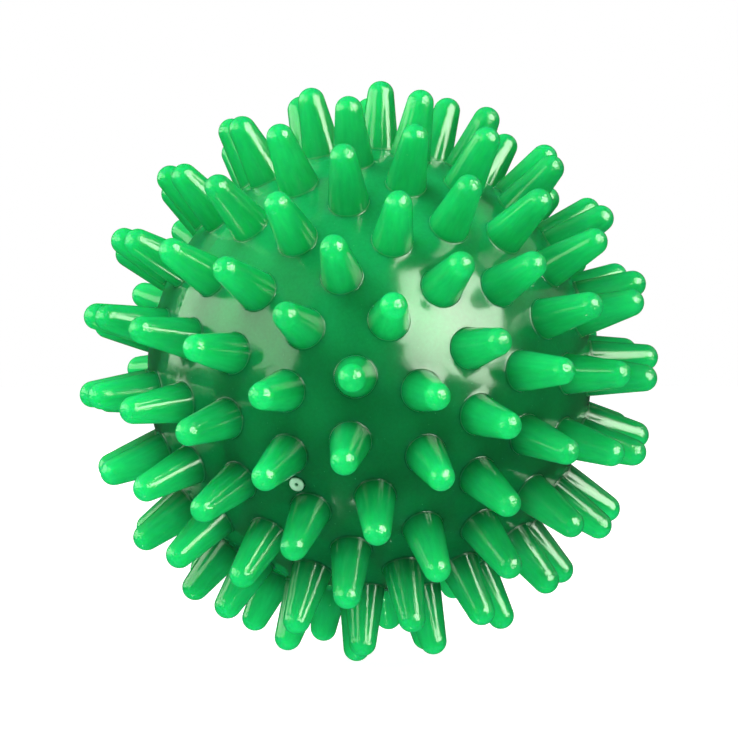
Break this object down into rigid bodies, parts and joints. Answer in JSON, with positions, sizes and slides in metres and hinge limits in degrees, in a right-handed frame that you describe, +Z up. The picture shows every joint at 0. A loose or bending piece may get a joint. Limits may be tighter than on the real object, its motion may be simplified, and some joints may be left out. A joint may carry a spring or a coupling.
{
  "type": "massage ball",
  "caption": "Soft hollow spiked massage ball: a translucent green skin moulded with finger-like spikes, with an air valve closed by a small stopper pin.",
  "frame": {"origin": "centre of the ball", "axes": "+Z up, -Y towards the picture's camera, +X to the right; the mould axis points forwards, 28.2 degrees to the right and 10.5 degrees down. The ball is near enough the same about any axis through its centre, +Z among them"},
  "size_m": [0.0698, 0.0698, 0.07],
  "materials": {
    "green_pvc": "glossy translucent soft PVC",
    "valve_pvc": "satin soft PVC"
  },
  "bodies": {
    "ball": {"spiked_shell": "green_pvc", "valve_insert": "valve_pvc"},
    "pin": {"stopper_pin": "valve_pvc"}
  },
  "joints": [
    {"name": "pin_pull", "type": "slide", "parent": "ball", "child": "pin", "axis": [-0.3098, -0.821, -0.4796], "range_m": [0, 0.008]}
  ]
}
